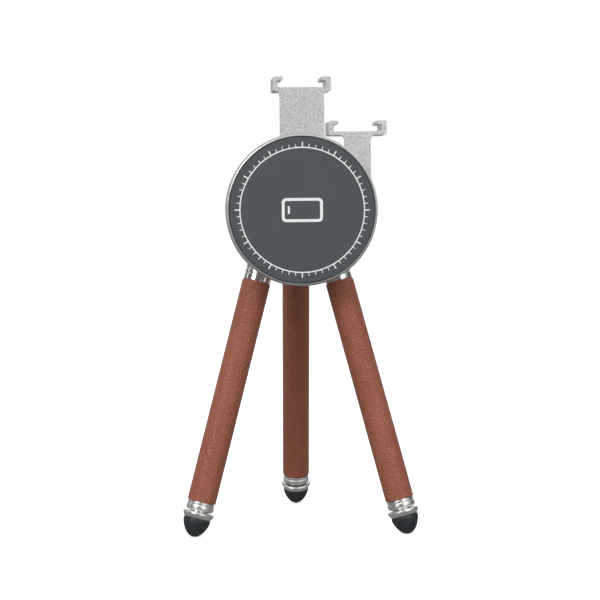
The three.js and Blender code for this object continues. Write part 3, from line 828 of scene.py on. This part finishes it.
def make_swivel():
    place("leg_hub_shape", leg_hub(), STANDING, "leg_hub", ["leg_hub"], "aluminium")
    place("pan_washer_shape", pan_washer(), STANDING, "leg_hub", ["pan_washer"], "acetal")
    for side in SIDES:
        screw = socket_screw(2.4, 1.3, -6.2, 1.3, 5.8, "X", 2.0)
        screw = moved(screw, 0, -HINGE_RADIUS, HINGE_HEIGHT)
        name = f"hinge_screw_{side}"
        place(f"{name}_shape", screw, hub_frame(side), "leg_hub", [name], "screw")
    place("pan_yoke_shape", pan_yoke(), STANDING, "pan_yoke", ["pan_yoke"], "aluminium")
    place("pan_bolt_shape", pan_bolt(), STANDING, "pan_yoke", ["pan_bolt"], "screw")
    place("tilt_bolt_shape", tilt_bolt(), STANDING, "pan_yoke", ["tilt_bolt"], "screw")
    place("tilt_knob_shape", tilt_knob(), STANDING, "tilt_knob", ["tilt_knob"], "plastic")


# ---- disc -----------------------------------------------------------------------------------

def bezel_cup():
    """A turned cup: a chamfer beside the face, a narrow land, and a side that widens backwards."""
    bore = FACE_RADIUS + 0.04
    edge = DISC_RADIUS - 0.1
    front = RIM_FRONT
    return turned(rounded([
        (SPINDLE_BORE, CUP_FLOOR), (bore, CUP_FLOOR, 0.2), (bore, front + 0.4),
        (bore + 0.42, front, 0.12), (bore + 0.6, front, 0.1), (bore + 0.98, front + 0.2, 0.1),
        (edge - 0.42, front + 0.42, 0.08), (edge - 0.3, front + 0.9, 0.4),
        (edge, front + 2.6, 1.2), (edge, DISC_BACK, 0.8), (SPINDLE_BORE, DISC_BACK),
    ]), "Y", ring_angles(180))


def face_plate():
    back = FACE_FRONT + FACE_THICKNESS
    return turned(rounded([
        (0, FACE_FRONT), (FACE_RADIUS, FACE_FRONT, 0.1), (FACE_RADIUS, back), (0, back),
    ]), "Y", ring_angles(180))


PRINT_DEPTH = 0.03
TICKS = 60
TICKS_PER_LONG_ONE = 5
DIAL = {"inner": 23.69, "outer": 24.13, "minor": (25.3, 0.29), "major": (25.95, 0.47)}
DISC_TURN = 0.5


def printed(build):
    """Gives flat print in X and Z its thickness, with its front just proud of the face."""
    bmesh.ops.remove_doubles(build, verts=build.verts[:], dist=1e-5)
    bmesh.ops.recalc_face_normals(build, faces=build.faces[:])
    build.verts.index_update()
    front, rim = build.faces[:], [edge for edge in build.edges if edge.is_boundary]
    thickness = Vector((0, PRINT_DEPTH + 0.01, 0))
    back = [build.verts.new(vertex.co + thickness) for vertex in build.verts[:]]
    for face in front:
        build.faces.new([back[vertex.index] for vertex in reversed(face.verts)])
    for a, b in (edge.verts for edge in rim):
        build.faces.new((a, b, back[b.index], back[a.index]))
    return closed_mesh(build)


def on_face(u, v):
    return (u, FACE_FRONT - PRINT_DEPTH, v)


def dial():
    """A ring with sixty ticks outside it, every fifth one longer."""
    build = bmesh.new()
    angles, tips = [], {}
    for i in range(TICKS):
        length, width = DIAL["major"] if i % TICKS_PER_LONG_ONE == 0 else DIAL["minor"]
        half = width / 2 / DIAL["outer"]
        middle = math.radians(360 / TICKS * i + DISC_TURN)
        tips[len(angles)] = (middle, length, width / 2)
        angles += [middle - half, middle + half, middle + math.radians(2), middle + math.radians(4)]
    inner, outer = (
        [build.verts.new(on_face(radius * math.sin(a), radius * math.cos(a))) for a in angles]
        for radius in (DIAL["inner"], DIAL["outer"])
    )
    for i in range(len(angles)):
        j = (i + 1) % len(angles)
        build.faces.new((inner[i], inner[j], outer[j], outer[i]))
    for i, (middle, length, half) in tips.items():
        out = Vector((math.sin(middle), math.cos(middle)))
        across = Vector((out.y, -out.x)) * half
        ends = [build.verts.new(on_face(*(out * length + across * k))) for k in (1, -1)]
        build.faces.new((outer[i], outer[i + 1], ends[0], ends[1]))
    return printed(build)


def ring_between(build, outside, inside):
    a = [build.verts.new(on_face(*p)) for p in outside]
    b = [build.verts.new(on_face(*p)) for p in inside]
    for i in range(len(a)):
        j = (i + 1) % len(a)
        build.faces.new((a[i], a[j], b[j], b[i]))


def panel(half_width, half_height, radius):
    return rounded([
        (half_width, half_height, radius), (-half_width, half_height, radius),
        (-half_width, -half_height, radius), (half_width, -half_height, radius),
    ])


def phone_mark():
    """A plain picture of a phone lying on its side, as a hint of what the disc holds."""
    build = bmesh.new()
    ring_between(build, panel(7.9, 4.6, 1.7), panel(6.8, 3.5, 0.7))
    build.faces.new([build.verts.new(on_face(-5.2 + x, y)) for x, y in panel(0.4, 1.5, 0.38)])
    return printed(build)


def make_disc():
    place("bezel_cup_shape", bezel_cup(), ON_DISC, "disc", ["bezel_cup"], "turned_rim")
    place("face_plate_shape", face_plate(), ON_DISC, "disc", ["face_plate"], "slate")
    place("dial_print", dial(), ON_DISC, "disc", [], "ink")
    place("phone_mark_print", phone_mark(), ON_DISC, "disc", [], "ink")


# ---- housing --------------------------------------------------------------------------------

def housing_outline(front, back):
    """The round housing with the socket of the upper shoe and the guide of the side shoe."""
    half, top = SOCKET
    left, right, reach = GUIDE
    ring = [(HOUSING_RADIUS * math.sin(a), HOUSING_RADIUS * math.cos(a)) for a in ring_angles(120)]
    return joined(
        slab(ring, front, back),
        block((TOP_SHOE["x"] - half, TOP_SHOE["x"] + half), (front, back), (0, top)),
        block((left, right), (front, back), (-reach, reach)),
    )


def drilled(radius, at, low, high, mouth=None, mouth_depth=0.0):
    """A cutter along Y, wider over the last part of its depth if a mouth is given."""
    profile = [(0, low), (radius, low), (radius, high), (0, high)]
    if mouth:
        step = high - mouth_depth
        profile = [(0, low), (radius, low), (radius, step), (mouth, step), (mouth, high), (0, high)]
    return moved(turned(profile, "Y", ring_angles(40)), at[0], 0, at[1])


def head_housing():
    front, back = HOUSING
    wall = front + 1.0
    body = bevelled(housing_outline(front, back), 0.4)
    rooms = [
        drilled(7.4, (0, 0), wall, back + 5),
        drilled(SPINDLE_BORE, (0, 0), front - 5, back + 5),
        block((TOP_SHOE["x"] - 8.85, TOP_SHOE["x"] + 8.85), (wall, back + 5), (8.7, 60)),
        block((STEM["left"] - 0.3, STEM["right"] + 0.3), (wall, back + 5), (-40, 40)),
    ]
    rooms += [drilled(THREAD_BORE, at, wall, back + 5) for at in COVER_SCREWS.values()]
    return cut(body, *rooms)


def rear_cover():
    front, back = COVER
    tilt = TILT_HEIGHT - DISC_HEIGHT
    neck = [(back - 0.8, tilt - NECK_RADIUS)]
    neck += arc((TILT_Y, tilt), NECK_RADIUS, -90, 90)
    neck.append((back - 0.8, tilt + NECK_RADIUS + 3))
    body = joined(
        bevelled(housing_outline(front, back), 0.35),
        bevelled(plate(neck, -NECK_HALF, NECK_HALF), 0.5),
    )
    tools = [tilt_hole(tilt)]
    for at in (*COVER_SCREWS.values(), *BRACKET_SCREWS.values()):
        tools.append(drilled(1.5, at, front - 5, back + 5, 2.6, 6.0))
    x, z = STOP_PIN
    slot = arc((x, z), 1.2, 180, 360) + arc((x, z + STOP_TRAVEL), 1.2, 0, 180)
    tools.append(slab(slot, front - 1, back + 1))
    return cut(body, *tools)


def rear_screw(at, tip):
    """A flat-headed screw along Y with its head to the back."""
    back = COVER[1] - 0.1
    head, shank = 2.3, 1.0
    body = turned(rounded([
        (0, tip), (shank, tip, 0.15), (shank, back - 0.8),
        (head, back - 0.8, 0.1), (head, back, 0.25), (0, back),
    ]), "Y", ring_angles(48))
    return moved(cut(body, extruded(hexagon(1.6), "Y", back - 0.55, back + 1)), at[0], 0, at[1])


# ---- accessory shoes ------------------------------------------------------------------------

def shoe(x, bottom, half, foot):
    """A camera shoe on a flat neck, with a concave web behind it."""
    lip = SHOE_HEIGHT - SHOE_LIP
    channel = rounded(mirrored([
        (SHOE_HALF, 0, 0.65), (SHOE_HALF, SHOE_HEIGHT, 0.75), (MOUTH_HALF, SHOE_HEIGHT, 0.5),
        (MOUTH_HALF, lip, 0.42), (SLOT_HALF, lip, 0.35), (SLOT_HALF, SHOE_FLOOR, 0.5),
    ]))
    spread = half + SHOE_FILLET + 0.02
    neck = rounded(mirrored([
        (half, foot - bottom), (half, 0, SHOE_FILLET), (spread, 0), (spread, 0.6),
    ]))
    reach = 6.0
    web = [(NECK_BACK - 0.8, 0.6), (NECK_BACK - 0.8, -reach), (NECK_BACK, -reach)]
    web += arc((NECK_BACK + reach, -reach), reach, 180, 90)[1:]
    web.append((NECK_BACK + reach, 0.6))
    whole = joined(
        slab(channel, SHOE_FRONT, SHOE_BACK),
        slab(neck, SHOE_FRONT, NECK_BACK),
        plate(web, 1 - half, half - 1),
    )
    return moved(whole, x, 0, bottom)


def shoe_edges(x, bottom):
    """The full rounding for a shoe's posts, and a finer one for its neck and its slot."""
    def weight(middle):
        is_post = abs(middle.x - x) > SLOT_HALF + 0.3 and middle.z > bottom - 0.1
        return 1 if is_post else FINE_EDGE

    return weight


def top_shoe_bracket():
    threads = [drilled(THREAD_BORE, at, SHOE_FRONT - 1, 0) for at in BRACKET_SCREWS.values()]
    edges = shoe_edges(TOP_SHOE["x"], TOP_SHOE["bottom"])
    return cut(bevelled(shoe(**TOP_SHOE), EDGE_ROUNDING, weight=edges), *threads)


def side_shoe_arm():
    width = (STEM["left"], STEM["right"])
    height = (STEM["bottom"], SIDE_SHOE["foot"])
    stem = block(width, (SHOE_FRONT, STEM["back"]), height)
    edges = shoe_edges(SIDE_SHOE["x"], SIDE_SHOE["bottom"])
    body = bevelled(joined(shoe(**SIDE_SHOE), stem), EDGE_ROUNDING, weight=edges)
    return cut(body, drilled(1.05, STOP_PIN, SHOE_FRONT + 0.6, 0))


def stop_pin():
    low, high = SHOE_FRONT + 0.8, COVER[1] - 0.4
    radius = 0.85
    profile = rounded([(0, low), (radius, low, 0.1), (radius, high, 0.25), (0, high)])
    return moved(turned(profile, "Y", ring_angles(32)), STOP_PIN[0], 0, STOP_PIN[1])


def make_head():
    parts = [
        ("head_housing", head_housing(), "head", "aluminium"),
        ("rear_cover", rear_cover(), "head", "aluminium"),
        ("top_shoe_bracket", top_shoe_bracket(), "head", "aluminium"),
        ("side_shoe_arm", side_shoe_arm(), "side_arm", "aluminium"),
        ("arm_stop_pin", stop_pin(), "side_arm", "screw"),
    ]
    for spot, at in COVER_SCREWS.items():
        parts.append((f"cover_screw_{spot}", rear_screw(at, HOUSING[0] + 1.4), "head", "screw"))
    for spot, at in BRACKET_SCREWS.items():
        parts.append((f"bracket_screw_{spot}", rear_screw(at, SHOE_FRONT + 0.4), "head", "screw"))
    for name, mesh, body, look in parts:
        place(f"{name}_shape", mesh, ON_DISC, body, [name], look)


# ---- pieces that keep their CAD shape -------------------------------------------------------

def dress_inner_pieces():
    """The pieces inside the object keep their CAD shape and get a material."""
    looks = {
        "magnet_ring": "magnet",
        "magnet_carrier": "plastic",
        "steel_backing": "screw",
        "disc_spindle": "screw",
        "spindle_nut": "screw",
        "friction_ring": "acetal",
        "arm_spring": "screw",
    }
    for side in SIDES:
        looks[f"leg_tube_{side}"] = "tube"
        looks[f"tube_bush_{side}"] = "acetal"
    for name, look in looks.items():
        node = frame["nodes"][name]
        node.data.materials.clear()
        node.data.materials.append(LOOKS[look])


# ---- studio ---------------------------------------------------------------------------------

CAMERA = {"azimuth": -4.11, "pitch": 3.39, "roll": -0.495, "distance": 684.0, "lens": 102.0}
AIM = {"height": 90.85, "right": 1.05}


def towards(azimuth, elevation):
    """The direction at an azimuth, where 0 is in front, and an elevation, both in degrees."""
    azimuth, elevation = math.radians(azimuth), math.radians(elevation)
    return Vector((
        math.sin(azimuth) * math.cos(elevation),
        -math.cos(azimuth) * math.cos(elevation),
        math.sin(elevation),
    ))


def make_camera():
    back = towards(CAMERA["azimuth"], CAMERA["pitch"])
    azimuth = math.radians(CAMERA["azimuth"])
    right = Vector((math.cos(azimuth), math.sin(azimuth), 0))
    data = bpy.data.cameras.new("camera")
    data.lens = CAMERA["lens"]
    data.sensor_width = 36.0
    data.clip_start, data.clip_end = 0.02, 50.0
    camera = bpy.data.objects.new("camera", data)
    bpy.context.scene.collection.objects.link(camera)
    aim = STANDING.translation + Vector((0, 0, AIM["height"] * MM)) + right * AIM["right"] * MM
    turn = (-back).to_track_quat("-Z", "Y").to_matrix().to_4x4()
    roll = Matrix.Rotation(math.radians(CAMERA["roll"]), 4, "Z")
    camera.matrix_world = Matrix.Translation(aim + back * CAMERA["distance"] * MM) @ turn @ roll
    bpy.context.scene.camera = camera


# Each light's azimuth and elevation, distance, size and power.
LIGHTS = {
    "key": ((-34, 28), 1.3, 0.6, 6.4),
    "fill": ((34, 20), 1.5, 0.8, 3.4),
    "top": ((0, 80), 1.4, 1.2, 1.6),
    "back": ((165, 50), 1.5, 1.0, 0.6),
}
LIT_HEIGHT = 0.09


def area_light(name, direction, distance, size, power):
    """A soft square light, in metres and watts, that faces the middle of the object."""
    out = towards(*direction)
    data = bpy.data.lights.new(name, "AREA")
    data.size = size
    data.energy = power
    lamp = bpy.data.objects.new(name, data)
    bpy.context.scene.collection.objects.link(lamp)
    lamp.location = Vector((0, 0, LIT_HEIGHT)) + out * distance
    lamp.rotation_mode = "QUATERNION"
    lamp.rotation_quaternion = out.to_track_quat("Z", "Y")


# Bright panels of the studio around the object: azimuth, half width in degrees, brightness.
PANELS = ((-101, 7, 1.0), (-41, 9, 2.0), (26, 13, 1.6), (62, 14, 0.5))
STUDIO_DARK = 0.13
STUDIO_BACK = 0.6
STUDIO_TOP = 0.9
STUDIO_BELOW = 0.25
BACK_WALL_FROM = 128
CEILING_FROM = 0.62


def make_world():
    """A white room for the eye, with panels and dark gaps for what reflects in metal."""
    world = bpy.data.worlds.new("studio")
    bpy.context.scene.world = world
    world.use_nodes = True
    tree = world.node_tree
    tree.nodes.clear()

    def math_node(operation, *inputs, clamp=False):
        node = tree.nodes.new("ShaderNodeMath")
        node.operation = operation
        node.use_clamp = clamp
        for socket, value in zip(node.inputs, inputs):
            if isinstance(value, bpy.types.NodeSocket):
                tree.links.new(value, socket)
            else:
                socket.default_value = value
        return node.outputs[0]

    def shared(first, second, share):
        """The first value where the share is 0, and the second where it is 1."""
        rest = math_node("MULTIPLY", first, math_node("SUBTRACT", 1.0, share))
        return math_node("ADD", rest, math_node("MULTIPLY", share, second))

    direction = tree.nodes.new("ShaderNodeSeparateXYZ")
    tree.links.new(tree.nodes.new("ShaderNodeTexCoord").outputs["Generated"], direction.inputs[0])
    x, y, z = direction.outputs
    azimuth = math_node("DEGREES", math_node("ARCTAN2", x, math_node("MULTIPLY", y, -1)))
    past_wall = math_node("SUBTRACT", math_node("ABSOLUTE", azimuth), BACK_WALL_FROM)
    facing_away = math_node("MULTIPLY", past_wall, 0.1, clamp=True)
    level = math_node("MULTIPLY_ADD", facing_away, STUDIO_BACK - STUDIO_DARK, STUDIO_DARK)
    for centre, half, bright in PANELS:
        off = math_node("ABSOLUTE", math_node("SUBTRACT", azimuth, centre))
        inside = math_node("MULTIPLY", math_node("SUBTRACT", half, off), 0.45, clamp=True)
        level = math_node("MULTIPLY_ADD", inside, bright, level)
    overhead = math_node("MULTIPLY", math_node("SUBTRACT", z, CEILING_FROM), 7.0, clamp=True)
    mixed = shared(level, STUDIO_TOP, overhead)
    below = math_node("MULTIPLY", math_node("ADD", z, 0.1), -5.0, clamp=True)
    mixed = shared(mixed, STUDIO_BELOW, below)
    seen = tree.nodes.new("ShaderNodeLightPath").outputs["Is Camera Ray"]
    strength = shared(mixed, 1.0, seen)
    background = tree.nodes.new("ShaderNodeBackground")
    background.inputs["Color"].default_value = (1, 1, 1, 1)
    tree.links.new(strength, background.inputs["Strength"])
    output = tree.nodes.new("ShaderNodeOutputWorld")
    tree.links.new(background.outputs[0], output.inputs[0])


FLOOR_GLOW = 0.6


def make_floor():
    """A pale paper floor that glows a little, as one lit from below does, and isn't mirrored."""
    build = bmesh.new()
    bmesh.ops.create_circle(build, cap_ends=True, segments=96, radius=12.0)
    mesh = bpy.data.meshes.new("floor")
    build.to_mesh(mesh)
    build.free()
    look = bpy.data.materials.new("floor_paper")
    look.use_nodes = True
    shader = look.node_tree.nodes["Principled BSDF"]
    shader.inputs["Base Color"].default_value = (0.9, 0.9, 0.9, 1)
    shader.inputs["Roughness"].default_value = 0.9
    shader.inputs["Specular IOR Level"].default_value = 0.1
    shader.inputs["Emission Color"].default_value = (1, 1, 1, 1)
    shader.inputs["Emission Strength"].default_value = FLOOR_GLOW
    mesh.materials.append(look)
    floor = bpy.data.objects.new("floor", mesh)
    floor.visible_glossy = False
    floor.visible_diffuse = False
    bpy.context.scene.collection.objects.link(floor)


def make_studio():
    bpy.context.scene.view_settings.view_transform = "Standard"
    make_world()
    make_floor()
    for name, settings in LIGHTS.items():
        area_light(name, *settings)


# ---- all together ---------------------------------------------------------------------------

make_camera()
make_looks()
for side in SIDES:
    make_leg(side)
make_swivel()
make_disc()
make_head()
dress_inner_pieces()
make_studio()
